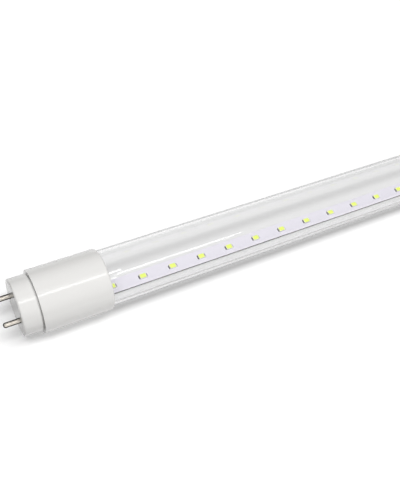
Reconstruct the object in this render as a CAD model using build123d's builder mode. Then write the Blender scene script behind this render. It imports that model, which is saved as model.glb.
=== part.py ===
from build123d import *
import os
from math import sqrt

# Clear glass LED tube with a two-pin base at each end, all sizes in millimetres.
# X runs along the tube, Z is up, and the origin is on the tube's axis at mid-length.
# The light strip lies along the lowest line of the glass and faces up.

# Lamp
face_to_face = 589.0        # between the end faces of the two pin bases
glass_diameter = 26.0
glass_wall = 0.9
pin_length = 7.1            # out of the end face
pin_diameter = 2.35
pin_spacing = 12.7

# End caps: a pin base that snaps into a sleeve, and a sleeve glued over the glass
collar_length = 8.5         # end face to the sleeve, with the seam
collar_step = 0.15          # how much less the collar's radius is than the glass's
collar_round = 0.7
sleeve_length = 31.4
sleeve_wall = 0.9
sleeve_edge = 0.25          # chamfer of the outer edge beside the seam
rim_taper = 1.0             # length of the rounded taper down to the glass
rim_drop = 0.5              # how far that taper drops
glue_gap = 0.35             # glass to sleeve, filled by the glue ring
seam_width = 0.5
base_wall = 1.8
neck_wall = 1.0
neck_clearance = 0.2        # neck to the inside of the glass
shoulder = 1.4              # inward flange of the sleeve, which the base snaps behind
shoulder_clearance = 0.1
snap_height = 0.5
snap_length = 0.8
neck_past_glass = 2.0       # how far the neck reaches into the glass
fit_gap = 0.03              # left round a pressed or glued-in round face
round_gap = 0.1             # left between two large round faces

# Pins: turned and plated, with a round tip, a seat pressed into the end wall and a solder cup behind
pin_tip_round = 1.0
pin_seat_diameter = 2.7
pin_tail_diameter = 2.2
pin_cup_diameter = 1.4
pin_cup_depth = 2.6
pin_flange_diameter = 3.8
pin_flange = 0.5
pin_tail = 2.5              # behind the flange
pin_hole_chamfer = 0.3

# Light strip
board_width = 7.5
board_thickness = 0.8
board_end_gap = 0.3         # strip to the neck of each base
bead_edge = 0.25            # thickness of the silicone under the strip's edges
led_pitch = 15.6
led_end_margin = 4.9        # least distance from a sleeve's rim to the first LED's centre
led_body = (3.5, 2.8, 0.65)
led_window = (2.9, 2.2)
led_cup_depth = 0.4
led_cup_taper = 20.0
led_fill_drop = 0.04        # phosphor below the housing's rim
led_corner_cut = 0.35       # marks one corner of the housing
solder_length = 0.5         # fillet of solder beyond each end of the housing
solder_width = 2.0
solder_height = 0.32

# Driver board, held by rails in the near pin base
driver_rise = 4.5           # its lower face above the light strip, room for the chips under it
driver_thickness = 1.0
driver_side_gap = 0.3       # its edges to the inside of the neck and of the glass
driver_tongue_start = 5.5   # from the end face
driver_end_gap = 1.2        # its end to the sleeve's rim
rail_height = 0.8
rail_reach = 1.2            # how far a rail covers the board's edge
rail_length = 8.2
rail_clearance = 0.05

# Parts on the driver board
lead_radius = 0.3
edge_margin = 0.8           # bodies of the tall parts to the board's edge
bulk_diameter = 6.3
bulk_length = 11.0
bulk_start = 20.5           # from the end face
bulk_lead_spacing = 2.5
bulk_lead_run = 1.3
bulk_groove = 0.35
choke_diameter = 6.5
choke_height = 6.0
choke_flange = 0.9
choke_core_diameter = 3.0
choke_winding_diameter = 5.8
choke_winding_edge = 0.3
choke_place = 29.5
film_size = (5.5, 3.6, 7.0)
film_place = 22.3
film_leg_spacing = 3.8
film_edge = 0.5
fuse_diameter = 2.4
fuse_body_length = 6.5
fuse_lead_spacing = 9.2
fuse_lift = 1.5             # its axis above the board
fuse_place = 17.3
chip_lift = 0.1
bridge_size = (4.7, 3.9, 2.4)
bridge_place = (17.0, 2.5)
controller_size = (4.9, 3.9, 1.5)
controller_place = (25.0, 3.0)
diode_size = (4.3, 2.6, 2.1)
diode_place = (25.0, -4.0)
link_spacing = 2.54
link_width = 0.64
link_from_rim = 3.7

# Wiring inside the caps
wire_radius = 0.5
wire_entry = 1.0            # how far a wire or lead goes into a pin's cup
wire_landing = 14.0         # where a wire meets the driver board, from the end face
wire_bend_share = 0.8       # its bend radius, as a share of its drop from the axis to the driver board
jumper_diameter = 2.6
jumper_body_length = 6.0
jumper_place = 8.0
jumper_bend = 1.2

# Sizes that follow from the ones above
near_face = -face_to_face / 2
glass_radius = glass_diameter / 2
glass_bore = glass_radius - glass_wall
collar_radius = glass_radius - collar_step
sleeve_bore = glass_radius + glue_gap
sleeve_radius = sleeve_bore + sleeve_wall
cap_length = collar_length + sleeve_length
neck_radius = glass_bore - neck_clearance
neck_bore = neck_radius - neck_wall
shoulder_bore = neck_radius + shoulder_clearance
shoulder_end = collar_length + shoulder
snap_start = shoulder_end + shoulder_clearance
glass_start = snap_start + snap_length + 0.3
neck_end = glass_start + neck_past_glass
glass_length = face_to_face - 2 * glass_start
pin_radius = pin_diameter / 2
pin_seat_radius = pin_seat_diameter / 2
pin_tail_radius = pin_tail_diameter / 2
pin_cup_radius = pin_cup_diameter / 2
pin_flange_end = base_wall + pin_flange
pin_end = pin_flange_end + pin_tail
pin_sides = {"front": -pin_spacing / 2, "back": pin_spacing / 2}

board_start = neck_end + board_end_gap
board_length = face_to_face - 2 * board_start
bead_radius = glass_bore - round_gap
board_floor = bead_edge - sqrt(bead_radius ** 2 - (board_width / 2) ** 2)
board_top = board_floor + board_thickness
led_margin = cap_length + led_end_margin
led_count = int((face_to_face - 2 * led_margin) / led_pitch) + 1
led_top = board_top + led_body[2]

driver_floor = board_top + driver_rise
driver_top = driver_floor + driver_thickness
tongue_half = sqrt((neck_bore - driver_side_gap) ** 2 - driver_floor ** 2)
driver_half = sqrt((glass_bore - driver_side_gap) ** 2 - driver_floor ** 2)
driver_start = neck_end + board_end_gap
driver_end = cap_length - driver_end_gap
wire_bend = wire_bend_share * -driver_top


def at(distance):
    """X of a place that lies this far inside the near end face."""
    return near_face + distance


def save(name, built):
    """Label a finished piece and write it to its own file."""
    built.part.label = name
    export_step(built.part, f"parts/{name}.step")


os.makedirs("parts", exist_ok=True)

# Glass tube, its cut ends with ground edges
with BuildPart() as glass_tube:
    with BuildSketch(Plane.YZ.offset(at(glass_start))):
        Circle(glass_radius)
        Circle(glass_bore, mode=Mode.SUBTRACT)
    extrude(amount=glass_length)
    chamfer(glass_tube.edges().filter_by(GeomType.CIRCLE), length=glass_wall / 4)
save("glass_tube", glass_tube)

# Sleeve of the near cap: shoulder at the seam, long thin wall over the glass, rounded rim
with BuildPart() as near_sleeve:
    with BuildSketch(Plane.XZ):
        with BuildLine():
            Polyline(
                (at(cap_length), sleeve_radius - rim_drop),
                (at(cap_length), sleeve_bore),
                (at(shoulder_end), sleeve_bore),
                (at(shoulder_end), shoulder_bore),
                (at(collar_length), shoulder_bore),
                (at(collar_length), sleeve_radius),
                (at(cap_length - rim_taper), sleeve_radius),
            )
            TangentArc(
                (at(cap_length - rim_taper), sleeve_radius),
                (at(cap_length), sleeve_radius - rim_drop),
                tangent=(1, 0),
            )
        make_face()
    revolve(axis=Axis.X)
    outer_edge = near_sleeve.edges().filter_by(GeomType.CIRCLE).group_by(Axis.X)[0].sort_by(SortBy.RADIUS)[-1]
    chamfer(outer_edge, length=sleeve_edge)
save("near_sleeve", near_sleeve)

with BuildPart() as far_sleeve:
    mirror(near_sleeve.part, about=Plane.YZ)
save("far_sleeve", far_sleeve)

# Pin base of the near cap: collar with the end wall, neck with a snap ridge, rails for a board
rail_width = neck_bore - tongue_half + rail_reach
rail_centre = tongue_half - rail_reach + rail_width / 2
rail_levels = (
    driver_top + rail_clearance + rail_height / 2,
    driver_floor - rail_clearance - rail_height / 2,
)
with BuildPart() as near_base:
    with BuildSketch(Plane.XZ):
        with BuildLine():
            Polyline(
                (at(0), 0),
                (at(0), collar_radius),
                (at(collar_length - seam_width), collar_radius),
                (at(collar_length - seam_width), neck_radius),
                (at(snap_start), neck_radius),
                (at(snap_start), neck_radius + snap_height),
                (at(snap_start + snap_length), neck_radius),
                (at(neck_end), neck_radius),
                (at(neck_end), neck_bore),
                (at(base_wall), neck_bore),
                (at(base_wall), 0),
                close=True,
            )
        make_face()
    revolve(axis=Axis.X)
    front_edge = near_base.edges().filter_by(GeomType.CIRCLE).group_by(Axis.X)[0].sort_by(SortBy.RADIUS)[-1]
    fillet(front_edge, radius=collar_round)
    with BuildSketch(Plane.YZ.offset(at(base_wall))):
        with Locations(*[(side * rail_centre, level) for side in (-1, 1) for level in rail_levels]):
            Rectangle(rail_width, rail_height)
        Circle(neck_bore + neck_wall / 2, mode=Mode.INTERSECT)
    extrude(amount=rail_length)
    with BuildSketch(Plane.YZ.offset(at(0))):
        with Locations(*[(side, 0) for side in pin_sides.values()]):
            Circle(pin_seat_radius + fit_gap)
    extrude(amount=base_wall, mode=Mode.SUBTRACT)
    mouths = near_base.edges().filter_by(GeomType.CIRCLE).group_by(Axis.X)[0].sort_by(SortBy.RADIUS)[0:2]
    chamfer(mouths, length=pin_hole_chamfer)
save("near_base", near_base)

with BuildPart() as far_base:
    mirror(near_base.part, about=Plane.YZ)
save("far_base", far_base)

# Contact pins, front and back at each end
for side, pin_y in pin_sides.items():
    with BuildPart() as near_pin:
        with BuildSketch(Plane.XZ.offset(-pin_y)):
            with BuildLine():
                Polyline(
                    (at(-pin_length + pin_tip_round), pin_radius),
                    (at(0), pin_radius),
                    (at(pin_hole_chamfer), pin_seat_radius),
                    (at(base_wall), pin_seat_radius),
                    (at(base_wall), pin_flange_diameter / 2),
                    (at(pin_flange_end), pin_flange_diameter / 2),
                    (at(pin_flange_end), pin_tail_radius),
                    (at(pin_end), pin_tail_radius),
                    (at(pin_end), pin_cup_radius),
                    (at(pin_end - pin_cup_depth), pin_cup_radius),
                    (at(pin_end - pin_cup_depth), 0),
                    (at(-pin_length), 0),
                    (at(-pin_length), pin_radius - pin_tip_round),
                )
                TangentArc(
                    (at(-pin_length), pin_radius - pin_tip_round),
                    (at(-pin_length + pin_tip_round), pin_radius),
                    tangent=(0, 1),
                )
            make_face()
        revolve(axis=Axis((0, pin_y, 0), (1, 0, 0)))
    save(f"near_pin_{side}", near_pin)
    with BuildPart() as far_pin:
        mirror(near_pin.part, about=Plane.YZ)
    save(f"far_pin_{side}", far_pin)

# Glue ring between the glass and the sleeve at each end
with BuildPart() as near_glue:
    with BuildSketch(Plane.YZ.offset(at(glass_start + glass_wall))):
        Circle(sleeve_bore - round_gap)
        Circle(glass_radius + fit_gap, mode=Mode.SUBTRACT)
    extrude(amount=cap_length - rim_taper - glass_start - glass_wall)
save("near_glue", near_glue)

with BuildPart() as far_glue:
    mirror(near_glue.part, about=Plane.YZ)
save("far_glue", far_glue)

# Strip of laminate that carries the LEDs
with BuildPart() as led_board:
    with BuildSketch(Plane.XY.offset(board_floor)):
        Rectangle(board_length, board_width)
    extrude(amount=board_thickness)
save("led_board", led_board)

# Bead of silicone under the whole strip, flat above and round below like the glass
with BuildPart() as board_adhesive:
    with BuildSketch(Plane.YZ.offset(at(board_start))):
        Circle(bead_radius)
        with Locations((0, board_floor - glass_radius)):
            Rectangle(board_width, 2 * glass_radius, mode=Mode.INTERSECT)
    extrude(amount=board_length)
save("board_adhesive", board_adhesive)

# LED housings with a tapered cup and one cut corner
led_places = GridLocations(led_pitch, 1, led_count, 1)
with BuildPart() as led_housings:
    with BuildSketch(Plane.XY.offset(board_top)):
        with led_places:
            Rectangle(led_body[0], led_body[1])
        corners = [led_places.locations[i].position.X + led_body[0] / 2 for i in range(led_count)]
        with Locations(*[(x, led_body[1] / 2) for x in corners]):
            Rectangle(led_corner_cut, led_corner_cut, rotation=45, mode=Mode.SUBTRACT)
    extrude(amount=led_body[2])
    with BuildSketch(Plane.XY.offset(led_top)):
        with led_places:
            Rectangle(*led_window)
    extrude(amount=-led_cup_depth, taper=led_cup_taper, mode=Mode.SUBTRACT)
save("led_housings", led_housings)

# Yellow phosphor that fills each cup to just below its rim
with BuildPart() as led_phosphors:
    with BuildSketch(Plane.XY.offset(led_top)):
        with led_places:
            Rectangle(*led_window)
    extrude(amount=-led_cup_depth, taper=led_cup_taper)
    with BuildSketch(Plane.XY.offset(led_top)):
        Rectangle(board_length, board_width)
    extrude(amount=-led_fill_drop, mode=Mode.SUBTRACT)
save("led_phosphors", led_phosphors)

# Solder fillets, one slope at each end of each LED
with BuildPart() as led_solder:
    with BuildSketch(Plane.XZ.offset(-solder_width / 2)):
        for place in led_places.locations:
            for end in (-1, 1):
                inner = place.position.X + end * led_body[0] / 2
                with BuildLine():
                    Polyline(
                        (inner, board_top + solder_height),
                        (inner, board_top),
                        (inner + end * solder_length, board_top),
                        (inner + end * solder_length * 0.35, board_top + solder_height * 0.4),
                        close=True,
                    )
                make_face()
    extrude(amount=solder_width)
save("led_solder", led_solder)

# Driver board with a tongue that slides into the base's rails
with BuildPart() as driver_board:
    with BuildSketch(Plane.XY.offset(driver_floor)):
        with Locations((at((driver_tongue_start + driver_start) / 2), 0)):
            Rectangle(driver_start - driver_tongue_start, 2 * tongue_half)
        with Locations((at((driver_start + driver_end) / 2), 0)):
            Rectangle(driver_end - driver_start, 2 * driver_half)
    extrude(amount=driver_thickness)
save("driver_board", driver_board)

# Electrolytic capacitor lying on the board, with a crimp groove and two bent leads
bulk_y = driver_half - edge_margin - bulk_diameter / 2
bulk_z = driver_top + bulk_diameter / 2 + fit_gap
with BuildPart() as bulk_capacitor:
    with BuildSketch(Plane.YZ.offset(at(bulk_start))):
        with Locations((bulk_y, bulk_z)):
            Circle(bulk_diameter / 2)
    extrude(amount=bulk_length)
    chamfer(bulk_capacitor.edges().filter_by(GeomType.CIRCLE), length=bulk_groove)
    with BuildSketch(Plane.YZ.offset(at(bulk_start + 3 * bulk_groove))):
        with Locations((bulk_y, bulk_z)):
            Circle(bulk_diameter / 2)
            Circle(bulk_diameter / 2 - bulk_groove, mode=Mode.SUBTRACT)
    extrude(amount=bulk_groove, mode=Mode.SUBTRACT)
    for lead in (-1, 1):
        lead_y = bulk_y + lead * bulk_lead_spacing / 2
        with BuildLine() as lead_path:
            FilletPolyline(
                (at(bulk_start), lead_y, bulk_z),
                (at(bulk_start - bulk_lead_run), lead_y, bulk_z),
                (at(bulk_start - bulk_lead_run), lead_y, driver_top),
                radius=2 * lead_radius,
            )
        with BuildSketch(Plane.YZ.offset(at(bulk_start))):
            with Locations((lead_y, bulk_z)):
                Circle(lead_radius)
        sweep(path=lead_path.line)
save("bulk_capacitor", bulk_capacitor)

# Choke: a ferrite drum standing on the board, and the coil wound on it
choke_y = -(driver_half - edge_margin - choke_diameter / 2)
with BuildPart() as choke_core:
    with BuildSketch(Plane.XY.offset(driver_top)):
        with Locations((at(choke_place), choke_y)):
            Circle(choke_diameter / 2)
    extrude(amount=choke_flange)
    with BuildSketch(Plane.XY.offset(driver_top)):
        with Locations((at(choke_place), choke_y)):
            Circle(choke_core_diameter / 2)
    extrude(amount=choke_height)
    with BuildSketch(Plane.XY.offset(driver_top + choke_height - choke_flange)):
        with Locations((at(choke_place), choke_y)):
            Circle(choke_diameter / 2)
    extrude(amount=choke_flange)
save("choke_core", choke_core)

with BuildPart() as choke_winding:
    with BuildSketch(Plane.XY.offset(driver_top + choke_flange)):
        with Locations((at(choke_place), choke_y)):
            Circle(choke_winding_diameter / 2)
            Circle(choke_core_diameter / 2 + fit_gap, mode=Mode.SUBTRACT)
    extrude(amount=choke_height - 2 * choke_flange)
    winding_rims = choke_winding.edges().filter_by(GeomType.CIRCLE).group_by(SortBy.RADIUS)[-1]
    chamfer(winding_rims, length=choke_winding_edge)
save("choke_winding", choke_winding)

# Boxed film capacitor with its upper edges cut, on the two short legs that meet the board
film_y = -(driver_half - edge_margin - film_size[1] / 2)
with BuildPart() as film_capacitor:
    with BuildSketch(Plane.XY.offset(driver_top + chip_lift)):
        with Locations((at(film_place), film_y)):
            Rectangle(film_size[0], film_size[1])
    extrude(amount=film_size[2])
    chamfer(film_capacitor.faces().sort_by(Axis.Z)[-1].edges(), length=film_edge)
    with BuildSketch(Plane.XY.offset(driver_top)):
        with Locations((at(film_place), film_y)):
            with GridLocations(film_leg_spacing, 1, 2, 1):
                Circle(lead_radius)
    extrude(amount=chip_lift)
save("film_capacitor", film_capacitor)

# Fusible resistor across the board on a staple of lead wire
with BuildPart() as fuse_resistor:
    fuse_z = driver_top + fuse_lift
    with BuildLine() as fuse_path:
        FilletPolyline(
            (at(fuse_place), -fuse_lead_spacing / 2, driver_top),
            (at(fuse_place), -fuse_lead_spacing / 2, fuse_z),
            (at(fuse_place), fuse_lead_spacing / 2, fuse_z),
            (at(fuse_place), fuse_lead_spacing / 2, driver_top),
            radius=3 * lead_radius,
        )
    with BuildSketch(Plane.XY.offset(driver_top)):
        with Locations((at(fuse_place), -fuse_lead_spacing / 2)):
            Circle(lead_radius)
    sweep(path=fuse_path.line)
    with BuildSketch(Plane.XZ.offset(-fuse_body_length / 2)):
        with Locations((at(fuse_place), fuse_z)):
            Circle(fuse_diameter / 2)
    extrude(amount=fuse_body_length)
    chamfer(fuse_resistor.edges().filter_by(GeomType.CIRCLE).sort_by(SortBy.RADIUS)[-2:], length=lead_radius)
save("fuse_resistor", fuse_resistor)


def surface_chip(place, size, leads_each_side, lead_pitch):
    """A moulded chip under the driver board, with its flat leads bent up to the board."""
    lead_width = 0.45 * lead_pitch
    lead_reach = 0.7
    lead_sheet = 0.25
    with BuildPart() as chip:
        with BuildSketch(Plane.XY.offset(driver_floor - chip_lift)):
            with Locations((at(place[0]), place[1])):
                Rectangle(size[0], size[1])
        extrude(amount=-size[2])
        chamfer(chip.faces().sort_by(Axis.Z)[0].edges(), length=0.15)
        with BuildSketch(Plane.XY.offset(driver_floor)):
            with Locations((at(place[0]), place[1])):
                with GridLocations(lead_pitch, size[1] + lead_reach, leads_each_side, 2):
                    Rectangle(lead_width, lead_reach)
        extrude(amount=-lead_sheet)
        with BuildSketch(Plane.XY.offset(driver_floor - lead_sheet)):
            with Locations((at(place[0]), place[1])):
                with GridLocations(lead_pitch, size[1] + lead_sheet, leads_each_side, 2):
                    Rectangle(lead_width, lead_sheet)
        extrude(amount=lead_sheet - chip_lift - size[2] / 2)
    return chip


bridge_rectifier = surface_chip(bridge_place, bridge_size, 2, 2.5)
save("bridge_rectifier", bridge_rectifier)
control_chip = surface_chip(controller_place, controller_size, 4, 1.27)
save("control_chip", control_chip)
diode = surface_chip(diode_place, diode_size, 1, 3.2)
save("diode", diode)

# Two link pins from the driver board down to the light strip
with BuildPart() as link_pins:
    with BuildSketch(Plane.XY.offset(board_top)):
        with Locations((at(cap_length - link_from_rim), 0)):
            with GridLocations(1, link_spacing, 1, 2):
                Rectangle(link_width, link_width)
    extrude(amount=driver_floor - board_top)
save("link_pins", link_pins)

# Supply wires from the near pins to the driver board
for side, wire_y in pin_sides.items():
    with BuildPart() as supply_wire:
        with BuildLine() as wire_path:
            FilletPolyline(
                (at(pin_end - wire_entry), wire_y, 0),
                (at(wire_landing), wire_y, 0),
                (at(wire_landing), wire_y, driver_top),
                radius=wire_bend,
            )
        with BuildSketch(Plane.YZ.offset(at(pin_end - wire_entry))):
            with Locations((wire_y, 0)):
                Circle(wire_radius)
        sweep(path=wire_path.line)
    save(f"supply_wire_{side}", supply_wire)

# Fuse link that joins the two far pins, with its leads in their cups
with BuildPart() as far_fuse_link:
    with BuildLine() as jumper_path:
        FilletPolyline(
            (-at(pin_end - wire_entry), pin_sides["front"], 0),
            (-at(jumper_place), pin_sides["front"], 0),
            (-at(jumper_place), pin_sides["back"], 0),
            (-at(pin_end - wire_entry), pin_sides["back"], 0),
            radius=jumper_bend,
        )
    with BuildSketch(Plane.YZ.offset(-at(pin_end - wire_entry))):
        with Locations((pin_sides["front"], 0)):
            Circle(lead_radius)
    sweep(path=jumper_path.line)
    with BuildSketch(Plane.XZ.offset(-jumper_body_length / 2)):
        with Locations((-at(jumper_place), 0)):
            Circle(jumper_diameter / 2)
    extrude(amount=jumper_body_length)
    chamfer(far_fuse_link.edges().filter_by(GeomType.CIRCLE).sort_by(SortBy.RADIUS)[-2:], length=lead_radius)
save("far_fuse_link", far_fuse_link)
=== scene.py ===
import logging
import math
from dataclasses import dataclass, replace
from enum import Enum
from typing import Any

import bmesh
import bpy
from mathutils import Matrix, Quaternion, Vector


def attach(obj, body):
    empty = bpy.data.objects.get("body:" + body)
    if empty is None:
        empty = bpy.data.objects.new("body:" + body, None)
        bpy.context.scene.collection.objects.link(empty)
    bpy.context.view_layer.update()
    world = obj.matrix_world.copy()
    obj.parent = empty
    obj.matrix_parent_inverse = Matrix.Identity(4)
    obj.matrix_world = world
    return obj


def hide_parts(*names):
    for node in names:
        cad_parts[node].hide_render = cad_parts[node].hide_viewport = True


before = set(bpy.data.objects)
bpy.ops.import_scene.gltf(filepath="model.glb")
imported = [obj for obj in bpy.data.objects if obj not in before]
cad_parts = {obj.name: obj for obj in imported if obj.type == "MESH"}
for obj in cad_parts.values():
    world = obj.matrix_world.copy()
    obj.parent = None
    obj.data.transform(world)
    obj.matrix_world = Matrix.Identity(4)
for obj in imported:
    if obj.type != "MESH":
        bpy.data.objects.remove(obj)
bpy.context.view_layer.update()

log = logging.getLogger("led_tube")

MM = 0.001
ROOT = "root"

# Edges that bend more than this, in degrees, are shaded sharp
SHARP_BEND = 32.0
# Points closer than this, in metres, become one
MERGE_DISTANCE = 1e-7
HALF_TURN = 180
# At this blend, Layer Weight's Facing is 1 minus the cosine of the slant
PLAIN_FACING = 0.5
# Numbers of the Mix node's colour sockets
MIX_SHARE, MIX_A, MIX_B, MIX_RESULT = 0, 6, 7, 2

Point = tuple[float, float]
Corner = tuple[float, float, float]
Outputs, Socket, Tree = bpy.types.bpy_prop_collection, bpy.types.NodeSocket, bpy.types.NodeTree
Piece = bpy.types.Object


class Way(Enum):
    """A direction along X."""

    LEFT = -1
    RIGHT = 1


class Joining(Enum):
    """How a tool changes a piece, by the names of the Boolean modifier."""

    UNION = "UNION"
    DIFFERENCE = "DIFFERENCE"


@dataclass(frozen=True)
class Lamp:
    """Sizes in millimetres that several pieces share, as in the CAD model.

    X runs along the tube, Z is up, and the origin is on the axis at mid-length.
    Places along X are given as distances inside the end face of a cap.
    """

    face_to_face: float = 589.0
    glass_radius: float = 13.0
    glass_bore: float = 12.1
    glass_start: float = 11.1
    cap_length: float = 39.9
    neck_end: float = 13.1
    board_start: float = 13.4
    board_width: float = 7.5
    board_floor: float = -11.149
    board_top: float = -10.349
    bead_radius: float = 12.0
    led_pitch: float = 15.6
    led_count: int = 33
    pin_spacing: float = 12.7
    driver_floor: float = -5.849
    driver_top: float = -4.849
    sleeve_radius: float = 14.25

    def at(self, distance: float) -> float:
        """X of a place this far inside the near end face, in millimetres."""
        return distance - self.face_to_face / 2

    def corners(self, places: list[Corner]) -> list[Corner]:
        """Corners whose first coordinates are given as distances inside the near end face."""
        return [(self.at(distance), radius, rounding) for distance, radius, rounding in places]


LAMP = Lamp()


def linear(hex_colour: str) -> tuple[float, float, float, float]:
    """Turns an sRGB hex colour into the linear colour that the shaders take.

    Args:
        hex_colour: Six hex digits with a leading hash.

    Returns:
        Red, green, blue and alpha, linear.
    """
    parts = [int(hex_colour[i : i + 2], 16) / 255 for i in (1, 3, 5)]
    curve = [c / 12.92 if c <= 0.04045 else ((c + 0.055) / 1.055) ** 2.4 for c in parts]
    return (*curve, 1.0)


def add_node(
    tree: Tree, kind: str, settings: dict[Any, Any] | None = None,
    links: dict[Any, Socket] | None = None,
) -> Outputs:
    """Adds one node to a tree.

    Args:
        tree: The material, world or geometry tree.
        kind: The node's type name, which ShaderNode goes before where it is a bare one.
        settings: Values by the name of a property, or else by the name or number of an input.
        links: Output sockets by the name or number of the input that they feed.

    Returns:
        The new node's outputs.
    """
    node = tree.nodes.new(kind if "Node" in kind else f"ShaderNode{kind}")
    for key, value in (settings or {}).items():
        if isinstance(key, str) and hasattr(node, key):
            setattr(node, key, value)
        else:
            node.inputs[key].default_value = value
    for key, source in (links or {}).items():
        tree.links.new(source, node.inputs[key])
    return node.outputs


# Finishes


@dataclass(frozen=True)
class Grain:
    """Unevenness of a surface, from a noise in object coordinates.

    Sizes are in millimetres, stretch is how much longer the pattern is along each axis,
    tint is the share by which the colour varies, and gloss how much the roughness does.
    """

    size: float
    depth: float
    stretch: tuple[float, float, float] = (1.0, 1.0, 1.0)
    tint: float = 0.02
    gloss: float = 0.05
    detail: float = 3.0


@dataclass(frozen=True)
class Finish:
    """An opaque finish: its colour, gloss and grain."""

    name: str
    slot: str
    colour: str
    roughness: float
    grain: Grain
    ior: float = 1.5
    metallic: float = 0.0
    edge_tint_and_painted_reflection: str = ""
    painted_reflection_reach: Point = (0.1, 0.34)
    subsurface: float = 0.0
    glow: float = 0.0
    glossiest: float = 0.02

    def pattern(self, tree: Tree) -> tuple[Socket, Socket]:
        """Adds the grain's noise and the relief that it gives.

        Args:
            tree: The material's tree.

        Returns:
            The socket with the noise, about 0 to 1, and the one with the normal.
        """
        position = add_node(tree, "TexCoord")["Object"]
        scale = tuple(1 / (MM * self.grain.size * s) for s in self.grain.stretch)
        mapped = add_node(tree, "Mapping", {"Scale": scale}, {"Vector": position})
        noise = add_node(
            tree, "TexNoise", {"Scale": 1.0, "Detail": self.grain.detail},
            {"Vector": mapped["Vector"]},
        )
        bump = add_node(
            tree, "Bump", {"Strength": 1.0, "Distance": self.grain.depth * MM},
            {"Height": noise["Fac"]},
        )
        return noise["Fac"], bump["Normal"]

    def tinted(self, tree: Tree, fac: Socket) -> Socket:
        """Adds the colour, varied by the pattern.

        An edge tint paints a dark reflection into it towards the outline, standing in for the dark
        ends of a room that metal mirrors.

        Args:
            tree: The material's tree.
            fac: The pattern.

        Returns:
            The colour socket.
        """
        low, high = (
            (*(min(1.0, c * (1 + way * self.grain.tint)) for c in linear(self.colour)[:3]), 1.0)
            for way in (-1, 1)
        )
        mix = add_node(
            tree, "Mix", {"data_type": "RGBA", MIX_A: low, MIX_B: high}, {MIX_SHARE: fac}
        )
        if not self.edge_tint_and_painted_reflection:
            return mix[MIX_RESULT]
        # Painted reflection: towards the outline the colour turns to the dark edge tint
        slant = add_node(tree, "LayerWeight", {"Blend": PLAIN_FACING})
        start, end = self.painted_reflection_reach
        share = add_node(
            tree, "MapRange",
            {"interpolation_type": "SMOOTHSTEP", "From Min": start, "From Max": end},
            {"Value": slant["Facing"]},
        )
        darkened = add_node(
            tree, "Mix", {"data_type": "RGBA", MIX_B: linear(self.edge_tint_and_painted_reflection)},
            {MIX_SHARE: share["Result"], MIX_A: mix[MIX_RESULT]},
        )
        return darkened[MIX_RESULT]

    def shader(self, tree: Tree) -> Socket:
        """Adds the whole surface.

        Args:
            tree: The material's tree.

        Returns:
            The shader socket.
        """
        fac, normal = self.pattern(tree)
        rough = add_node(
            tree,
            "MapRange",
            {
                "To Min": max(self.glossiest, self.roughness * (1 - self.grain.gloss)),
                "To Max": self.roughness * (1 + self.grain.gloss),
            },
            {"Value": fac},
        )
        settings: dict[str, Any] = {"Metallic": self.metallic}
        if not self.metallic:
            settings["IOR"] = self.ior
        if self.edge_tint_and_painted_reflection:
            settings["Specular Tint"] = linear(self.edge_tint_and_painted_reflection)
        if self.subsurface:
            settings["Subsurface Weight"] = self.subsurface
            settings["Subsurface Scale"] = MM
        # A painted glow: the surface gives out light of its own colour, though it is no lamp
        if self.glow:
            settings["Emission Color"] = linear(self.colour)
            settings["Emission Strength"] = self.glow
        colour = self.tinted(tree, fac)
        surface = add_node(
            tree, "BsdfPrincipled", settings,
            {"Base Color": colour, "Roughness": rough["Result"], "Normal": normal},
        )
        return surface["BSDF"]

    def material(self) -> bpy.types.Material:
        """The finish as a material, made the first time that it's asked for."""
        made = bpy.data.materials.get(self.name)
        if made is None:
            made = bpy.data.materials.new(self.name)
            made.use_nodes = True
            tree = made.node_tree
            tree.nodes.clear()
            add_node(tree, "OutputMaterial", links={"Surface": self.shader(tree)})
        return made


@dataclass(frozen=True)
class Glass(Finish):
    """Clear glass with painted grey shade at its outline, that lets the lamps reach what is inside
    it.

    Reaches are ranges of slant, from 0 seen straight on to 1 at the outline. The shares are
    of the lamps' light that a surface lets pass, straight on and aslant.
    """

    painted_rim_shade: str = "#8C8C8C"
    painted_rim_reach: Point = (0.64, 0.74)
    lamp_shares: Point = (0.98, 0.35)
    shadow_reach: Point = (0.25, 0.4)

    def shader(self, tree: Tree) -> Socket:
        """Adds the refracting surface and its stand-in for rays from lamps.

        Args:
            tree: The material's tree.

        Returns:
            The shader socket.
        """
        slant = add_node(tree, "LayerWeight", {"Blend": PLAIN_FACING})
        settings = {"Roughness": self.roughness, "IOR": self.ior, "Transmission Weight": 1.0}
        links, colour = {"Normal": self.pattern(tree)[1]}, linear(self.colour)
        if self.painted_rim_shade:
            # Painted shade: the glass's colour turns grey towards the outline
            start, end = self.painted_rim_reach
            rim = add_node(
                tree, "MapRange", {"From Min": start, "From Max": end},
                {"Value": slant["Facing"]},
            )
            tint = add_node(
                tree, "Mix", {"data_type": "RGBA", MIX_A: colour, MIX_B: linear(self.painted_rim_shade)},
                {MIX_SHARE: rim["Result"]},
            )
            links["Base Color"] = tint[MIX_RESULT]
        else:
            settings["Base Color"] = colour
        clear = add_node(tree, "BsdfPrincipled", settings, links)
        (start, end), (straight, aslant) = self.shadow_reach, self.lamp_shares
        share = add_node(
            tree, "MapRange",
            {
                "interpolation_type": "SMOOTHSTEP",
                "From Min": start, "From Max": end, "To Min": straight, "To Max": aslant,
            },
            {"Value": slant["Facing"]},
        )
        open_to_lamps = add_node(tree, "BsdfTransparent", links={"Color": share["Result"]})
        path = add_node(tree, "LightPath")
        passing = add_node(
            tree, "Math", {"operation": "MAXIMUM"},
            {0: path["Is Shadow Ray"], 1: path["Is Diffuse Ray"]},
        )
        mixed = add_node(
            tree, "MixShader",
            links={0: passing["Value"], 1: clear["BSDF"], 2: open_to_lamps["BSDF"]},
        )
        return mixed["Shader"]


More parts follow.
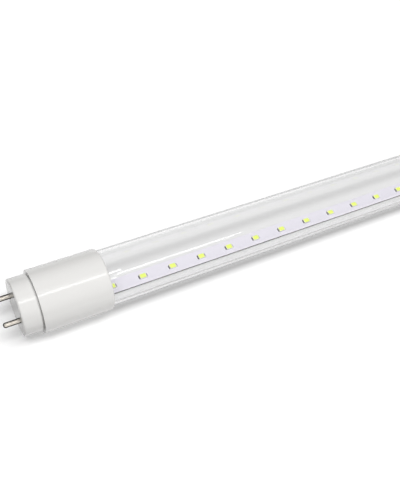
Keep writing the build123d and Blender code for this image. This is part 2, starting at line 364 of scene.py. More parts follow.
# Drawn soda-lime glass, IOR 1.52: clear, with painted grey shade at its outline and very faint
# streaks along the tube from the drawing
CLEAR_GLASS = Glass(
    "drawn_soda_lime_glass", "clear_glass", "#F7F7F7", 0.0,
    Grain(size=3.0, depth=0.004, stretch=(40.0, 1.0, 1.0)), ior=1.52,
)
# The same glass on the bore, without the painted grey shade at the outline
BORE_GLASS = replace(CLEAR_GLASS, name="drawn_soda_lime_glass_bore", painted_rim_shade="")
# Moulded polycarbonate, IOR 1.58: glossy warm white with a hint of orange peel
CAP_WHITE = Finish(
    "moulded_white_polycarbonate", "white_cap", "#DFDEDC", 0.14,
    Grain(size=0.9, depth=0.002, tint=0.01, gloss=0.15), ior=1.58,
)
# Turned brass with bright nickel plating: near-mirror, with a painted dark reflection at the
# outline, and turning rings
PIN_NICKEL = Finish(
    "nickel_plated_brass", "pin_plating", "#F4EDE2", 0.12,
    Grain(size=0.12, depth=0.001, stretch=(1.0, 30.0, 30.0), tint=0.03, gloss=0.3), metallic=0.6,
    edge_tint_and_painted_reflection="#1A1512",
)
# White solder mask on laminate: satin, faintly violet beside warm white plastic
WHITE_MASK = Finish(
    "white_solder_mask", "white_mask", "#F1EEF8", 0.42,
    Grain(size=0.35, depth=0.004, tint=0.012, gloss=0.1), ior=1.52,
)
# The strip's cut edges, where the bare laminate shows: dull dark brown, the laminate's colour
# darkened with painted shade along the strip's edge
LAMINATE_EDGE_AND_SHADE = Finish(
    "bare_laminate_edge_and_painted_shade", "white_mask", "#2E2A26", 0.6,
    Grain(size=0.2, depth=0.01, stretch=(4.0, 1.0, 1.0), tint=0.15, gloss=0.1),
)
# Moulded PPA of a surface-mount LED: bright white, half gloss
LED_WHITE = Finish(
    "moulded_white_ppa", "led_housing", "#F1F0EA", 0.35,
    Grain(size=0.25, depth=0.003, tint=0.01, gloss=0.1),
)
# Phosphor in clear silicone: unlit it's a saturated yellow, with a faint painted glow of its own
# colour, and grainy close up
PHOSPHOR = Finish(
    "phosphor_in_silicone", "phosphor", "#ECFF70", 0.3,
    Grain(size=0.12, depth=0.004, tint=0.06, gloss=0.2), ior=1.43, glow=0.12,
)
# Tin solder after reflow: grey metal, slightly frosted and dark beside the white board
SOLDER = Finish(
    "reflowed_tin_solder", "solder", "#6E6B68", 0.35,
    Grain(size=0.2, depth=0.006, tint=0.08, gloss=0.3), metallic=1.0,
)
# Cured silicone adhesive: milky white, soft gloss
SILICONE = Finish(
    "cured_white_silicone", "silicone", "#E4E4E2", 0.45,
    Grain(size=1.6, depth=0.02, tint=0.02, gloss=0.2), ior=1.41, subsurface=0.2,
)
# Epoxy laminate with green mask
DRIVER_LAMINATE = Finish(
    "green_masked_epoxy_laminate", "driver_laminate", "#2F6B45", 0.38,
    Grain(size=0.4, depth=0.006, tint=0.12, gloss=0.2), ior=1.52,
)
# Plain shrink film round an electrolytic capacitor
CAPACITOR_FILM = Finish(
    "black_shrink_film", "capacitor_sleeve", "#23242B", 0.3,
    Grain(size=0.8, depth=0.004, tint=0.15, gloss=0.2),
)
# Sintered ferrite: dark grey, dull, fine grained
FERRITE = Finish(
    "sintered_ferrite", "ferrite", "#3B3B3E", 0.6,
    Grain(size=0.1, depth=0.006, tint=0.2, gloss=0.2),
)
# Enamelled copper wire, wound in close turns
MAGNET_WIRE = Finish(
    "enamelled_copper_wire", "magnet_wire", "#A4532A", 0.25,
    Grain(size=0.25, depth=0.02, stretch=(20.0, 20.0, 1.0), tint=0.2, gloss=0.3), metallic=0.8,
)
# Dipped epoxy case of a film capacitor
FILM_CASE = Finish(
    "dipped_red_epoxy", "film_case", "#9A3A22", 0.3,
    Grain(size=1.0, depth=0.02, tint=0.1, gloss=0.2),
)
# Cement coating of a fusible resistor
RESISTOR_BODY = Finish(
    "grey_green_cement_coating", "resistor_body", "#7E9A8C", 0.5,
    Grain(size=0.3, depth=0.01, tint=0.1, gloss=0.1),
)
# Moulded epoxy of a chip: charcoal, matt
CHIP_EPOXY = Finish(
    "moulded_black_epoxy", "chip_epoxy", "#2B2B2D", 0.55,
    Grain(size=0.08, depth=0.004, tint=0.15, gloss=0.1),
)
# Tinned wire
LEAD_METAL = Finish(
    "tinned_copper", "lead_metal", "#C9C7C2", 0.25,
    Grain(size=0.2, depth=0.003, tint=0.05, gloss=0.3), metallic=1.0,
)
# Silicone jacket of a supply wire
WIRE_JACKET = Finish(
    "white_silicone_jacket", "wire_jacket", "#DEDCD6", 0.5,
    Grain(size=0.5, depth=0.006, tint=0.03, gloss=0.1), ior=1.41,
)


# Mesh building


def arc_corners(start: Point, end: Point, steps: int) -> list[Corner]:
    """Points of an arc that leaves start along the first axis and ends at end, both left out.

    Args:
        start: Where the arc begins, level.
        end: Where it ends.
        steps: How many straight pieces it's cut into.

    Returns:
        The points between, as sharp corners.
    """
    run, drop = end[0] - start[0], start[1] - end[1]
    radius = (run**2 + drop**2) / (2 * drop)
    sweep = math.atan2(run, radius - drop)
    turns = [sweep * i / steps for i in range(1, steps)]
    return [
        (start[0] + radius * math.sin(a), start[1] - radius + radius * math.cos(a), 0.0)
        for a in turns
    ]


def box_corners(first: Point, last: Point, rounding: float) -> list[Corner]:
    """The four equal corners of a rectangle, from its first corner to the one across."""
    (a, b), (c, d) = first, last
    return [(a, b, rounding), (c, b, rounding), (c, d, rounding), (a, d, rounding)]


def rounded_outline(
    corners: list[Corner], steps: int = 6, support: float = 0.3, longest: float = 20.0,
    closed: bool = True,
) -> list[Point]:
    """Turns corners with fillet radii into the points of an outline.

    Long straight runs get a point near each end, so that smooth shading stays flat
    along them, and more points in between where they are longer than longest.

    Args:
        corners: Each corner's two coordinates and its fillet radius, 0 for a sharp one.
        steps: Straight pieces in each fillet.
        support: How far from a run's ends its extra points lie.
        longest: The longest straight piece.
        closed: Whether the last corner joins the first.

    Returns:
        The outline's points, in order.
    """
    bare: list[Vector] = []
    count = len(corners)
    for i, (a, b, radius) in enumerate(corners):
        here = Vector((a, b))
        if radius <= 0 or (not closed and i in (0, count - 1)):
            bare.append(here)
            continue
        back = (Vector(corners[i - 1][:2]) - here).normalized()
        onward = (Vector(corners[(i + 1) % count][:2]) - here).normalized()
        half = back.angle(onward) / 2
        centre = here + (back + onward).normalized() * (radius / math.sin(half))
        first = here + back * (radius / math.tan(half)) - centre
        last = here + onward * (radius / math.tan(half)) - centre
        sweep = math.atan2(first.x * last.y - first.y * last.x, first.dot(last))
        for k in range(steps + 1):
            turn = sweep * k / steps
            spin = Vector((
                first.x * math.cos(turn) - first.y * math.sin(turn),
                first.x * math.sin(turn) + first.y * math.cos(turn),
            ))
            bare.append(centre + spin)
    outline: list[Point] = []
    pairs = list(zip(bare, bare[1:])) + ([(bare[-1], bare[0])] if closed else [])
    for p, q in pairs:
        outline.append((p.x, p.y))
        run = (q - p).length
        if run > 4 * support:
            pieces = max(1, math.ceil((run - 2 * support) / longest))
            for k in range(pieces + 1):
                share = (support + (run - 2 * support) * k / pieces) / run
                between = p.lerp(q, share)
                outline.append((between.x, between.y))
    if not closed:
        outline.append((bare[-1].x, bare[-1].y))
    return outline


def in_scene(name: str, data: bpy.types.ID) -> Piece:
    """A new object at the origin with this mesh, light or camera."""
    made = bpy.data.objects.new(name, data)
    bpy.context.scene.collection.objects.link(made)
    return made


def smoothed(mesh: bpy.types.Mesh, sharp_bend: float = SHARP_BEND) -> None:
    """Shades a mesh smooth, apart from edges that bend more than this many degrees."""
    mesh.shade_smooth()
    mesh.set_sharp_from_angle(angle=math.radians(sharp_bend))


def as_object(built: bmesh.types.BMesh, name: str, sharp_bend: float) -> Piece:
    """Turns a finished bmesh into a smooth object, and frees it.

    Args:
        built: The bmesh.
        name: The object's name.
        sharp_bend: Edges that bend more than this, in degrees, are shaded sharp.

    Returns:
        The new object.
    """
    mesh = bpy.data.meshes.new(name)
    built.to_mesh(mesh)
    built.free()
    smoothed(mesh, sharp_bend)
    return in_scene(name, mesh)


def lofted(name: str, loops: list[list[Vector]], ring: bool = False) -> Piece:
    """Skins loops of equal length into a closed surface.

    Args:
        name: The object's name.
        loops: Closed loops of points in millimetres, in order.
        ring: Whether the last loop joins the first, else both are capped.

    Returns:
        The new object, in metres, at the origin.
    """
    built = bmesh.new()
    rings = [[built.verts.new(p * MM) for p in loop] for loop in loops]
    pairs = list(zip(rings, rings[1:])) + ([(rings[-1], rings[0])] if ring else [])
    for one, other in pairs:
        for i, vertex in enumerate(one):
            j = (i + 1) % len(one)
            built.faces.new((vertex, one[j], other[j], other[i]))
    if not ring:
        built.faces.new(rings[0])
        built.faces.new(rings[-1])
    bmesh.ops.remove_doubles(built, verts=built.verts, dist=MERGE_DISTANCE)
    bmesh.ops.recalc_face_normals(built, faces=built.faces)
    return as_object(built, name, SHARP_BEND)


def revolved(
    name: str, outline: list[Point], segments: int, centre_y: float = 0.0, ring: bool = True
) -> Piece:
    """Turns an outline round a line parallel to X.

    Args:
        name: The object's name.
        outline: X and radius of each point, in millimetres.
        segments: Flats round the turn.
        centre_y: Y of the line.
        ring: Whether the outline is closed, else it starts and ends on the line.

    Returns:
        The new object.
    """
    turns = [math.tau * i / segments for i in range(segments)]
    loops = [
        [Vector((x, centre_y + r * math.cos(a), r * math.sin(a))) for a in turns]
        for x, r in outline
    ]
    return lofted(name, loops, ring)


def extruded(name: str, outline: list[Point], along: list[float]) -> Piece:
    """Draws an outline in Y and Z out along X.

    Args:
        name: The object's name.
        outline: Y and Z of each point, in millimetres.
        along: The places along X that get a loop.

    Returns:
        The new object.
    """
    return lofted(name, [[Vector((x, y, z)) for y, z in outline] for x in along])


def stations(start: float, end: float, step: float) -> list[float]:
    """Even places from start to end, about step apart."""
    count = max(1, round((end - start) / step))
    return [start + (end - start) * i / count for i in range(count + 1)]


def with_modifiers_applied(piece: Piece) -> None:
    """Replaces a piece's mesh by what its modifiers make of it, and removes them."""
    bpy.context.view_layer.update()
    graph = bpy.context.evaluated_depsgraph_get()
    baked = bpy.data.meshes.new_from_object(piece.evaluated_get(graph))
    baked.name = piece.name
    piece.modifiers.clear()
    piece.data = baked


def combined(piece: Piece, tools: list[Piece], joining: Joining) -> None:
    """Cuts tools out of a piece or joins them to it, and removes the tools.

    Args:
        piece: The piece that is changed.
        tools: Closed meshes.
        joining: Whether they are joined to it or cut out.
    """
    for tool in tools:
        cut = piece.modifiers.new("cut", "BOOLEAN")
        cut.operation = joining.value
        cut.solver = "EXACT"
        cut.object = tool
    with_modifiers_applied(piece)
    for tool in tools:
        bpy.data.objects.remove(tool)


def mirrored(piece: Piece, name: str) -> Piece:
    """A copy of a piece for the other end of the lamp, with its faces turned outwards again.

    Args:
        piece: The near end's piece.
        name: The copy's name.

    Returns:
        The copy.
    """
    mesh = piece.data.copy()
    mesh.name = name
    for vertex in mesh.vertices:
        vertex.co.x = -vertex.co.x
    mesh.flip_normals()
    return in_scene(name, mesh)


def place(piece: Piece, finish: Finish, *nodes: str) -> None:
    """Dresses a finished piece and puts it on the frame in the place of its CAD nodes.

    Args:
        piece: The piece, in place.
        finish: Its finish.
        nodes: The CAD nodes that it stands for.
    """
    piece.data.materials.clear()
    piece.data.materials.append(finish.material())
    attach(piece, ROOT)
    if nodes:
        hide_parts(*nodes)
    log.info("%s: %d faces, %s", piece.name, len(piece.data.polygons), finish.name)


# Sub-assemblies


@dataclass(frozen=True)
class GlassTube:
    """The drawn glass tube, with ground ends."""

    ground_edge: float = 0.2
    segments: int = 768
    longest_face: float = 60.0

    def build(self) -> None:
        """Builds and places the tube."""
        start = LAMP.at(LAMP.glass_start)
        wall = box_corners(
            (start, LAMP.glass_bore), (-start, LAMP.glass_radius), self.ground_edge
        )
        outline = rounded_outline(wall, longest=self.longest_face)
        tube = revolved("clear_tube", outline, self.segments)
        place(tube, CLEAR_GLASS, "glass_tube")
        tube.data.materials.append(BORE_GLASS.material())
        for face in tube.data.polygons:
            face.material_index = int(face.center.yz.dot(face.normal.yz) < 0)


@dataclass(frozen=True)
class EndCap:
    """A cap: the sleeve over the glass, and the pin base that snaps into it.

    Places along X are distances inside the end face.
    """

    collar_length: float = 8.5
    collar_radius: float = 12.85
    collar_round: float = 0.7
    seam_width: float = 0.5
    sleeve_bore: float = 13.35
    shoulder_end: float = 9.9
    shoulder_bore: float = 12.0
    sleeve_edge: float = 0.14
    rim_taper: float = 1.0
    rim_drop: float = 0.5
    rim_steps: int = 8
    base_wall: float = 1.8
    wall_round: float = 0.3
    neck_radius: float = 11.9
    neck_bore: float = 10.9
    snap_start: float = 10.0
    snap_length: float = 0.8
    snap_height: float = 0.5
    small_round: float = 0.08
    pin_hole: float = 1.38
    pin_mouth: float = 0.3
    hole_segments: int = 48
    cutter_overhang: float = 1.0
    rail_length: float = 8.2
    rail_height: float = 0.8
    rail_inner: float = 7.6
    rail_reach_above: float = 10.4
    rail_reach_below: float = 9.5
    rail_root: float = 0.3
    rail_clearance: float = 0.05
    segments: int = 144

    def sleeve(self) -> Piece:
        """Builds the near sleeve.

        Returns:
            The sleeve, not yet placed.
        """
        outer, rim, small = LAMP.sleeve_radius, LAMP.cap_length, self.small_round
        taper, lip = (rim - self.rim_taper, outer), (rim, outer - self.rim_drop)
        places = [
            (*lip, 0.0),
            (rim, self.sleeve_bore, 0.0),
            (self.shoulder_end, self.sleeve_bore, small),
            (self.shoulder_end, self.shoulder_bore, small),
            (self.collar_length, self.shoulder_bore, small),
            (self.collar_length, outer, self.sleeve_edge),
            (*taper, 0.0),
            *arc_corners(taper, lip, self.rim_steps),
        ]
        outline = rounded_outline(LAMP.corners(places))
        return revolved("near_cap_sleeve", outline, self.segments)

    def rails(self) -> list[Piece]:
        """Builds the four rails that hold the driver board, each rooted in the neck's wall.

        Returns:
            The rails, to be joined to the base.
        """
        made = []
        above = LAMP.driver_top + self.rail_clearance
        below = LAMP.driver_floor - self.rail_clearance - self.rail_height
        ends = [LAMP.at(self.base_wall + x) for x in (-self.rail_root, self.rail_length)]
        for low, reach in ((above, self.rail_reach_above), (below, self.rail_reach_below)):
            for side in (-1, 1):
                flank = sorted((side * self.rail_inner, side * reach))
                outline = [(flank[0], low), (flank[1], low)]
                outline += [(y, low + self.rail_height) for y in reversed(flank)]
                made.append(extruded(f"rail_{len(made)}", outline, ends))
        return made

    def pin_holes(self) -> list[Piece]:
        """Builds the cutters of the two pin holes with their chamfered mouths.

        Returns:
            The cutters.
        """
        over, inner = self.cutter_overhang, self.base_wall + self.cutter_overhang
        places = [
            (-over, 0.0),
            (-over, self.pin_hole + self.pin_mouth + over),
            (self.pin_mouth, self.pin_hole),
            (inner, self.pin_hole),
            (inner, 0.0),
        ]
        outline, half = [(LAMP.at(x), r) for x, r in places], LAMP.pin_spacing / 2
        return [
            revolved(f"hole_{side}", outline, self.hole_segments, side * half, ring=False)
            for side in (-1, 1)
        ]

    def base(self) -> Piece:
        """Builds the near pin base.

        Returns:
            The base, not yet placed.
        """
        small, seam = self.small_round, self.collar_length - self.seam_width
        places = [
            (0, 0.0, 0.0),
            (0, self.collar_radius, self.collar_round),
            (seam, self.collar_radius, small),
            (seam, self.neck_radius, small),
            (self.snap_start, self.neck_radius, 0.0),
            (self.snap_start, self.neck_radius + self.snap_height, small),
            (self.snap_start + self.snap_length, self.neck_radius, 0.0),
            (LAMP.neck_end, self.neck_radius, small),
            (LAMP.neck_end, self.neck_bore, small),
            (self.base_wall, self.neck_bore, self.wall_round),
            (self.base_wall, 0.0, 0.0),
        ]
        outline = rounded_outline(LAMP.corners(places), closed=False)
        made = revolved("near_cap_base", outline, self.segments, ring=False)
        combined(made, self.rails(), Joining.UNION)
        combined(made, self.pin_holes(), Joining.DIFFERENCE)
        smoothed(made.data)
        return made

    def build(self) -> None:
        """Builds and places the sleeves and bases of both ends."""
        for made, part in ((self.sleeve(), "sleeve"), (self.base(), "base")):
            far = mirrored(made, f"far_cap_{part}")
            place(made, CAP_WHITE, f"near_{part}")
            place(far, CAP_WHITE, f"far_{part}")


@dataclass(frozen=True)
class ContactPins:
    """The four turned pins, each pressed into its end wall with a solder cup behind."""

    length: float = 7.1
    radius: float = 1.175
    tip_round: float = 1.0
    seat_radius: float = 1.35
    seat_start: float = 0.3
    flange_radius: float = 1.9
    flange_start: float = 1.8
    flange_end: float = 2.3
    tail_radius: float = 1.1
    tail_end: float = 4.8
    cup_radius: float = 0.7
    cup_floor: float = 2.2
    flange_round: float = 0.08
    tail_round: float = 0.05
    cup_round: float = 0.1
    segments: int = 56

    def build(self) -> None:
        """Builds and places the pins of both ends."""
        places = [
            (-self.length, 0.0, 0.0),
            (-self.length, self.radius, self.tip_round),
            (0, self.radius, 0.0),
            (self.seat_start, self.seat_radius, 0.0),
            (self.flange_start, self.seat_radius, 0.0),
            (self.flange_start, self.flange_radius, self.flange_round),
            (self.flange_end, self.flange_radius, self.flange_round),
            (self.flange_end, self.tail_radius, self.tail_round),
            (self.tail_end, self.tail_radius, self.cup_round),
            (self.tail_end, self.cup_radius, self.cup_round),
            (self.cup_floor, self.cup_radius, self.cup_round),
            (self.cup_floor, 0.0, 0.0),
        ]
        outline = rounded_outline(
            LAMP.corners(places), steps=10, support=0.05, longest=2.0, closed=False
        )
        for side, y in (("front", -LAMP.pin_spacing / 2), ("back", LAMP.pin_spacing / 2)):
            near = revolved(f"near_contact_{side}", outline, self.segments, y, ring=False)
            far = mirrored(near, f"far_contact_{side}")
            place(near, PIN_NICKEL, f"near_pin_{side}")
            place(far, PIN_NICKEL, f"far_pin_{side}")


@dataclass(frozen=True)
class RowTree:
    """A geometry tree that repeats the piece it's on along X and sets its finish."""

    finish: Finish

    def tree(self) -> Tree:
        """Builds the tree.

        Returns:
            The tree, with inputs for the count, the pitch and the first place.
        """
        group = bpy.data.node_groups.new(f"row_of_{self.finish.slot}", "GeometryNodeTree")
        face = group.interface
        sockets = {"Geometry": "Geometry", "Count": "Int", "Pitch": "Float", "First X": "Float"}
        for name, kind in sockets.items():
            face.new_socket(name, in_out="INPUT", socket_type=f"NodeSocket{kind}")
        face.new_socket("Geometry", in_out="OUTPUT", socket_type="NodeSocketGeometry")
        inputs = add_node(group, "NodeGroupInput")
        step, first = (
            add_node(group, "CombineXYZ", links={"X": inputs[name]})["Vector"]
            for name in ("Pitch", "First X")
        )
        line = add_node(
            group, "GeometryNodeMeshLine", {"mode": "OFFSET"},
            {"Count": inputs["Count"], "Start Location": first, "Offset": step},
        )
        copies = add_node(
            group, "GeometryNodeInstanceOnPoints",
            links={"Points": line["Mesh"], "Instance": inputs["Geometry"]},
        )
        real = add_node(
            group, "GeometryNodeRealizeInstances", links={"Geometry": copies["Instances"]}
        )
        finished = add_node(
            group, "GeometryNodeSetMaterial", {"Material": self.finish.material()},
            {"Geometry": real["Geometry"]},
        )
        add_node(group, "NodeGroupOutput", links={"Geometry": finished["Geometry"]})
        return group

    def repeat(self, piece: Piece, count: int, pitch: float, first: float) -> None:
        """Repeats a piece that is modelled at X = 0, and bakes the row into its mesh.

        Args:
            piece: The piece, one copy of it.
            count: How many copies.
            pitch: Their spacing in millimetres.
            first: X of the first one in millimetres.
        """
        group = self.tree()
        row = piece.modifiers.new("row", "NODES")
        row.node_group = group
        values = {"Count": count, "Pitch": pitch * MM, "First X": first * MM}
        for socket in group.interface.items_tree:
            if socket.in_out == "INPUT" and socket.name in values:
                row[socket.identifier] = values[socket.name]
        with_modifiers_applied(piece)


@dataclass(frozen=True)
class LightStrip:
    """The strip with its silicone bead, and the LEDs soldered to it.

    A face of the strip is one of its cut edges where its normal's Z is below upright.
    Dish has one row for each loop of a fill's hollow top: how much shorter than the top
    it is, its corners' radius and its drop. Wetted has one for each loop of a fillet:
    its place across, from -1 to 1, and its share of the full size.
    """

    loop_spacing: float = 20.0
    board_edge: float = 0.06
    upright: float = 0.5
    bead_steps: int = 16
    corner_steps: int = 4
    led_length: float = 3.5
    led_width: float = 2.8
    led_height: float = 0.65
    led_draft: float = 0.05
    led_round: float = 0.08
    top_bevel: float = 0.06
    top_inset: float = 0.1
    window_length: float = 2.9
    window_width: float = 2.2
    window_round: float = 0.3
    window_bevel: float = 0.02
    cup_depth: float = 0.4
    cup_round: float = 0.2
    cup_taper: float = 20.0
    corner_cut: float = 0.25
    fill_gap: float = 0.01
    fill_drop: float = 0.04
    dish: tuple[Corner, ...] = ((0.3, 0.25, 0.03), (1.0, 0.2, 0.05), (1.8, 0.1, 0.055))
    solder_length: float = 0.5
    solder_width: float = 2.0
    solder_height: float = 0.32
    solder_edge: float = 0.004
    solder_bend: float = 40.0
    solder_steps: int = 6
    wetted: tuple[Point, ...] = (
        (-1.0, 0.75), (-0.9, 0.95), (-0.6, 1.0), (0.6, 1.0), (0.9, 0.95), (1.0, 0.75),
    )

    def rectangle(
        self, length: float, width: float, corner: float, z: float, cut: float = 0.0
    ) -> list[Vector]:
        """A level rectangle with round corners, or with one cut straight where asked.

        Args:
            length: Its size along X.
            width: Its size along Y.
            corner: The corners' radius.
            z: Its level.
            cut: The straight cut of the corner towards +X and +Y, 0 for none.

        Returns:
            The loop's points, as many for every rectangle.
        """
        steps, points = self.corner_steps, []
        for quarter, (sx, sy) in enumerate(((1, 1), (-1, 1), (-1, -1), (1, -1))):
            size = cut if quarter == 0 and cut else corner
            centre = Vector((sx * (length / 2 - size), sy * (width / 2 - size), z))
            for k in range(steps + 1):
                share = k / steps
                turn = math.pi / 2 * (quarter + share)
                if quarter == 0 and cut:
                    reach = (1 - share, share, 0)
                else:
                    reach = (math.cos(turn), math.sin(turn), 0)
                points.append(centre + size * Vector(reach))
        return points

    def along(self) -> list[float]:
        """The places along X that get a loop of the strip and of the bead."""
        start = LAMP.at(LAMP.board_start)
        return stations(start, -start, self.loop_spacing)

    def board(self) -> None:
        """Builds and places the strip."""
        half = LAMP.board_width / 2
        section = box_corners((-half, LAMP.board_floor), (half, LAMP.board_top), self.board_edge)
        outline = rounded_outline(section, steps=3, support=0.1)
        strip = extruded("led_strip", outline, self.along())
        place(strip, WHITE_MASK, "led_board")
        strip.data.materials.append(LAMINATE_EDGE_AND_SHADE.material())
        # The cut edges get the dark brown that carries painted shade
        for face in strip.data.polygons:
            face.material_index = int(abs(face.normal.z) < self.upright)

    def bead(self) -> None:
        """Builds and places the silicone under the strip, round below like the glass."""
        half = LAMP.board_width / 2
        radius, steps = LAMP.bead_radius, self.bead_steps
        sweep = math.asin(half / radius)
        turns = [-sweep + 2 * sweep * i / steps for i in range(steps + 1)]
        outline = [(radius * math.sin(a), -radius * math.cos(a)) for a in turns]
        outline += [(half, LAMP.board_floor), (-half, LAMP.board_floor)]
        place(extruded("silicone_bead", outline, self.along()), SILICONE, "board_adhesive")

    def housing(self) -> Piece:
        """One LED housing at X = 0: a drafted body with a tapered cup.

        Returns:
            The housing.
        """
        top = LAMP.board_top + self.led_height
        shrink = 2 * self.cup_depth * math.tan(math.radians(self.cup_taper))
        loops = []
        for less, z in (
            (0.0, LAMP.board_top),
            (self.led_draft, top - self.top_bevel),
            (self.led_draft + self.top_inset, top),
        ):
            size = (self.led_length - less, self.led_width - less)
            loops.append(self.rectangle(*size, self.led_round, z, self.corner_cut))
        for less, corner, z in (
            (-2 * self.window_bevel, self.window_round, top),
            (0.0, self.window_round, top - self.window_bevel),
            (shrink, self.cup_round, top - self.cup_depth),
        ):
            size = (self.window_length - less, self.window_width - less)
            loops.append(self.rectangle(*size, corner, z))
        return lofted("led_bodies", loops)

    def fill(self) -> Piece:
        """One phosphor fill at X = 0, a little dished below the cup's rim.

        Returns:
            The fill.
        """
        slope = 2 * math.tan(math.radians(self.cup_taper))
        drop, gap = self.fill_drop, self.fill_gap
        depth = self.cup_depth - gap / 2
        rows = [
            (depth * slope, self.cup_round, depth),
            (drop * slope, self.window_round - gap, drop),
            *((less, corner, drop + hollow) for less, corner, hollow in self.dish),
        ]
        inner = (self.window_length - gap, self.window_width - gap)
        top = LAMP.board_top + self.led_height
        return lofted("led_fills", [
            self.rectangle(inner[0] - less, inner[1] - less, corner, top - down)
            for less, corner, down in rows
        ])

    def fillet(self, way: Way) -> Piece:
        """One solder fillet at one end of an LED at X = 0, hollow like a wetted slope.

        Args:
            way: The end of the LED.

        Returns:
            The fillet.
        """
        start, loops = self.led_length / 2, []
        for across, share in self.wetted:
            y = across * self.solder_width / 2
            profile = [(0.0, self.solder_height * share)]
            for k in range(1, self.solder_steps + 1):
                along = k / self.solder_steps
                height = self.solder_height * share * (1 - along) ** 2
                profile.append((self.solder_length * share * along, max(height, self.solder_edge)))
            profile.append((0.0, 0.0))
            loops.append([
                Vector((way.value * (start + x), y, LAMP.board_top + height))
                for x, height in profile
            ])
        return lofted(f"solder_{way.name.lower()}", loops)

    def build(self) -> None:
        """Builds and places the strip, the bead and the rows of LED pieces."""
        self.board()
        self.bead()
        first = -(LAMP.led_count - 1) / 2 * LAMP.led_pitch
        rows = (
            (self.housing(), LED_WHITE, "led_housings"),
            (self.fill(), PHOSPHOR, "led_phosphors"),
            (self.joined_fillets(), SOLDER, "led_solder"),
        )
        for piece, finish, node in rows:
            RowTree(finish).repeat(piece, LAMP.led_count, LAMP.led_pitch, first)
            place(piece, finish, node)

    def joined_fillets(self) -> Piece:
        """The two fillets of one LED as one piece.

        Returns:
            The pair.
        """
        pair = bmesh.new()
        for way in Way:
            one = self.fillet(way)
            pair.from_mesh(one.data)
            bpy.data.objects.remove(one)
        return as_object(pair, "led_solder_fillets", self.solder_bend)


@dataclass(frozen=True)
class Driver:
    """The driver and the wiring inside the caps, which keep their CAD shapes."""

    def build(self) -> None:
        """Gives each hidden part its finish."""
        finishes = {
            SILICONE: ("near_glue", "far_glue"),
            DRIVER_LAMINATE: ("driver_board",),
            CAPACITOR_FILM: ("bulk_capacitor",),
            FERRITE: ("choke_core",),
            MAGNET_WIRE: ("choke_winding",),
            FILM_CASE: ("film_capacitor",),
            RESISTOR_BODY: ("fuse_resistor", "far_fuse_link"),
            CHIP_EPOXY: ("bridge_rectifier", "control_chip", "diode"),
            LEAD_METAL: ("link_pins",),
            WIRE_JACKET: ("supply_wire_front", "supply_wire_back"),
        }
        for finish, nodes in finishes.items():
            for node in nodes:
                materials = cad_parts[node].data.materials
                materials.clear()
                materials.append(finish.material())
                log.info("%s: the CAD shape, %s", node, finish.name)


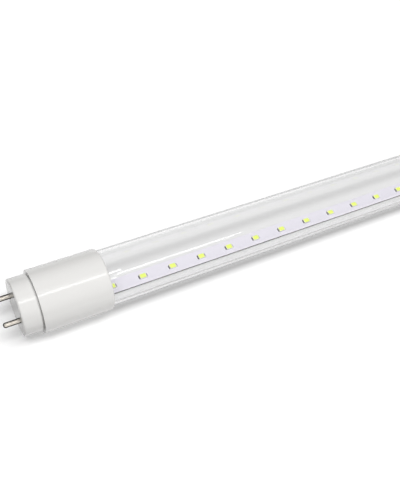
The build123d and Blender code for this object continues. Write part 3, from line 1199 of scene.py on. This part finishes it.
@dataclass(frozen=True)
class Studio:
    """A white sweep of floor, soft light from above and the camera of the photograph.

    The floor is paper with a lift of its own light. Where it's seen through the glass, some
    of the paper's tone is lost to more of that light. Its bounce is what it throws back. The
    room has its light by angles in degrees from straight up, towards +Y.
    """

    floor_size: float = 6.0
    paper: float = 0.68
    lift: float = 0.3
    lost: float = 0.34
    mirrored_lift: float = 0.3
    bounce: Point = (0.12, 0.76)
    bounce_reach: Point = (-0.34, -0.28)
    lamp_reach: float = 0.35
    lift_reach: Point = (0.03, 0.25)
    lift_gain: float = 0.7
    room: tuple[Point, ...] = (
        (-88, 0.4), (-62, 0.7), (-36, 0.6), (-16, 0.15), (10, 0.02), (22, 0.35), (50, 0.25),
        (80, 0.05),
    )
    dim_reach: Point = (0.4, 0.9)
    dimmest: float = 0.1
    camera_place: Corner = (-0.322989, -0.137763, 0.257042)
    camera_turn: tuple[float, float, float, float] = (0.933153, 0.263068, -0.143692, -0.198427)
    lens: float = 47.764
    sensor: float = 36.0
    clips: Point = (0.01, 20.0)

    def paper_shader(self, tree: Tree) -> Socket:
        """Adds the floor's surface.

        Args:
            tree: The floor's tree.

        Returns:
            The shader socket.
        """
        path = add_node(tree, "LightPath")
        through, seen = path["Is Transmission Ray"], path["Is Camera Ray"]
        for kind in (through, path["Is Glossy Ray"]):
            seen = add_node(tree, "Math", {"operation": "MAXIMUM"}, {0: seen, 1: kind})["Value"]
        place_on = add_node(tree, "TexCoord")["Object"]
        spot = add_node(tree, "SeparateXYZ", links={"Vector": place_on})
        # Away from the lamp, where no shadow falls, the floor has more of its own light
        beside, along = (
            add_node(tree, "Math", {"operation": "ABSOLUTE"}, {0: spot[axis]}) for axis in "YX"
        )
        beyond = add_node(
            tree, "Math", {"operation": "SUBTRACT", 1: self.lamp_reach}, {0: along["Value"]}
        )
        off = add_node(
            tree, "Math", {"operation": "MAXIMUM"}, {0: beside["Value"], 1: beyond["Value"]}
        )
        (near, far), strongest = self.lift_reach, self.lift + self.lift_gain
        more = add_node(
            tree, "MapRange",
            {"From Min": near, "From Max": far, "To Min": self.lift, "To Max": strongest},
            {"Value": off["Value"]},
        )
        # A ray that the glass lets through counts as glossy too, so those are taken off
        reflected = add_node(
            tree, "Math", {"operation": "SUBTRACT"}, {0: path["Is Glossy Ray"], 1: through}
        )
        lift = add_node(
            tree, "MapRange", {"To Max": self.mirrored_lift},
            {"Value": reflected["Value"], "To Min": more["Result"]},
        )
        lifted = add_node(
            tree, "Math", {"operation": "MULTIPLY_ADD", 1: self.lost},
            {0: through, 2: lift["Result"]},
        )
        light = add_node(tree, "Emission", links={"Strength": lifted["Value"]})
        tone = add_node(
            tree, "MapRange", {"To Min": self.paper, "To Max": self.paper - self.lost},
            {"Value": through},
        )
        shaded = add_node(tree, "BsdfDiffuse", links={"Color": tone["Result"]})
        white = add_node(tree, "AddShader", links={0: shaded["BSDF"], 1: light["Emission"]})
        (near, far), (dark, pale) = self.bounce_reach, self.bounce
        bounce = add_node(
            tree, "MapRange", {"From Min": near, "From Max": far, "To Min": dark, "To Max": pale},
            {"Value": spot["X"]},
        )
        matt = add_node(tree, "BsdfDiffuse", links={"Color": bounce["Result"]})
        both = add_node(tree, "MixShader", links={0: seen, 1: matt["BSDF"], 2: white["Shader"]})
        return both["Shader"]

    def floor(self) -> None:
        """Makes the white floor, just under the sleeves. It keeps the lamp's shadow."""
        half, level = self.floor_size / 2, -LAMP.sleeve_radius * MM
        mesh = bpy.data.meshes.new("floor")
        corners = [(x, y, level) for x, y, _ in box_corners((-half, -half), (half, half), 0.0)]
        mesh.from_pydata(corners, [], [(0, 1, 2, 3)])
        floor = in_scene("floor", mesh)
        paper = bpy.data.materials.new("white_paper_sweep")
        paper.use_nodes = True
        tree = paper.node_tree
        tree.nodes.clear()
        add_node(tree, "OutputMaterial", links={"Surface": self.paper_shader(tree)})
        floor.data.materials.append(paper)

    def world(self) -> None:
        """Makes the room: its light by angle, and plain white to the camera and through glass."""
        world = bpy.data.worlds.new("room")
        world.use_nodes = True
        tree = world.node_tree
        tree.nodes.clear()
        sky = add_node(tree, "TexCoord")["Generated"]
        way = add_node(tree, "SeparateXYZ", links={"Vector": sky})
        lean = add_node(tree, "Math", {"operation": "ARCTAN2"}, {0: way["Y"], 1: way["Z"]})
        share = add_node(
            tree, "MapRange", {"From Min": -math.pi / 2, "From Max": math.pi / 2},
            {"Value": lean["Value"]},
        )
        ramp = add_node(tree, "ValToRGB", links={"Fac": share["Result"]})
        marks = ramp["Color"].node.color_ramp.elements
        for angle, light in self.room:
            mark = marks.new(angle / HALF_TURN + 0.5)
            mark.color = (light, light, light, 1)
        marks.remove(marks[0])
        marks.remove(marks[-1])
        along = add_node(tree, "Math", {"operation": "ABSOLUTE"}, {0: way["X"]})
        near, far = self.dim_reach
        dim = add_node(
            tree, "MapRange",
            {"From Min": near, "From Max": far, "To Min": 1.0, "To Max": self.dimmest},
            {"Value": along["Value"]},
        )
        back = add_node(
            tree, "Background", links={"Color": ramp["Color"], "Strength": dim["Result"]},
        )
        pale = add_node(tree, "Background", {"Color": linear("#FFFFFF")})
        path = add_node(tree, "LightPath")
        seen = add_node(
            tree, "Math", {"operation": "MAXIMUM"},
            {0: path["Is Camera Ray"], 1: path["Is Transmission Ray"]},
        )
        both = add_node(
            tree, "MixShader",
            links={0: seen["Value"], 1: back["Background"], 2: pale["Background"]},
        )
        add_node(tree, "OutputWorld", links={"Surface": both["Shader"]})
        bpy.context.scene.world = world

    def softbox(
        self, name: str, spot: Corner, size: Point, radiance: float, mirrored_too: bool = True
    ) -> None:
        """Hangs one softbox that faces the tube squarely.

        Args:
            name: Its name.
            spot: Where it hangs, in metres.
            size: Its length along X and its width.
            radiance: Its brightness, 1 for a white card in full light.
            mirrored_too: Whether it shows as a highlight, else it only lights.
        """
        data = bpy.data.lights.new(name, "AREA")
        data.shape = "RECTANGLE"
        data.size, data.size_y = size
        data.energy = radiance * math.pi * size[0] * size[1]
        box = in_scene(name, data)
        box.location = spot
        box.rotation_mode = "QUATERNION"
        box.rotation_quaternion = Vector((0.0, -spot[1], -spot[2])).to_track_quat("-Z", "Y")
        box.visible_glossy = box.visible_transmission = mirrored_too

    def camera(self) -> None:
        """Places the camera."""
        data = bpy.data.cameras.new("camera")
        data.lens, data.sensor_width, data.sensor_fit = self.lens, self.sensor, "AUTO"
        data.clip_start, data.clip_end = self.clips
        camera = in_scene("camera", data)
        camera.location = self.camera_place
        camera.rotation_mode = "QUATERNION"
        camera.rotation_quaternion = Quaternion(self.camera_turn)
        bpy.context.scene.camera = camera

    def build(self) -> None:
        """Sets up the whole studio."""
        bpy.context.scene.view_settings.view_transform = "Standard"
        self.camera()
        self.floor()
        self.world()
        self.softbox("cap_softbox", (-0.14, -0.28, 1.0), (0.33, 0.12), 4.5)
        self.softbox("glass_softbox", (0.19, -0.49, 1.0), (0.31, 0.06), 4.0)
        self.softbox("key_softbox", (-0.2, -0.155, 1.1), (1.1, 0.34), 10.3, mirrored_too=False)


def main() -> None:
    """Builds the lamp and its studio."""
    logging.basicConfig(level=logging.INFO, format="%(name)s: %(message)s")
    for part in (GlassTube(), EndCap(), ContactPins(), LightStrip(), Driver(), Studio()):
        part.build()


if __name__ == "__main__":
    main()
